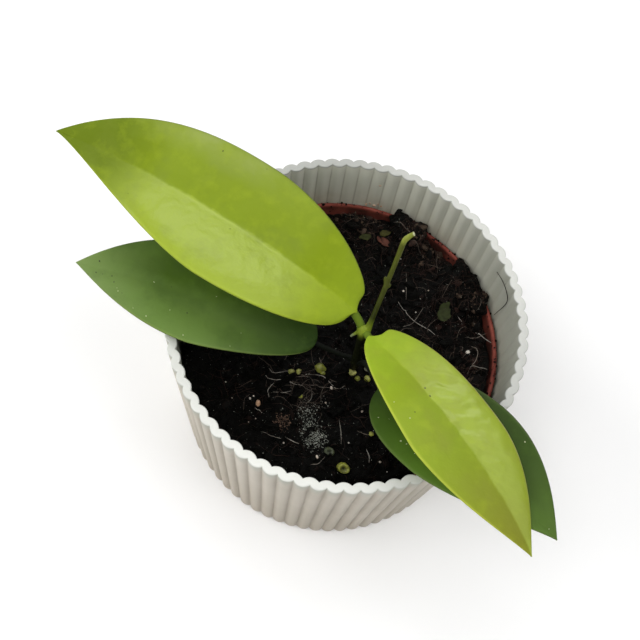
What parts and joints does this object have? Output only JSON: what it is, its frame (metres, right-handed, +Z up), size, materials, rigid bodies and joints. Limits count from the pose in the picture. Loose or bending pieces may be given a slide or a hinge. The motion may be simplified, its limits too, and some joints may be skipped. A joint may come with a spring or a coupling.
{
  "type": "potted hoya plant",
  "caption": "Young hoya with thick pointed lime and green leaves and a cut leader, in soil in a red-brown nursery pot inside a white fluted cover pot.",
  "frame": {"origin": "centre of the cover pot's underside, on the surface that it stands on", "axes": "+Z up along the pots' axis; the side that the picture is taken from is -Y, and the large lime leaf points to -X"},
  "size_m": [0.1625, 0.1138, 0.1196],
  "materials": {
    "cover_pot": "satin",
    "nursery_pot": "satin",
    "soil": "matte",
    "stem": "satin",
    "lime_leaf": "satin",
    "green_leaf": "satin"
  },
  "bodies": {
    "root": {"cover_pot": "cover_pot", "nursery_pot": "nursery_pot", "potting_soil": "soil", "stem": "stem", "lime_leaf_left": "lime_leaf", "lime_leaf_right": "lime_leaf", "green_leaf_left": "green_leaf", "green_leaf_right": "green_leaf"}
  },
  "joints": []
}
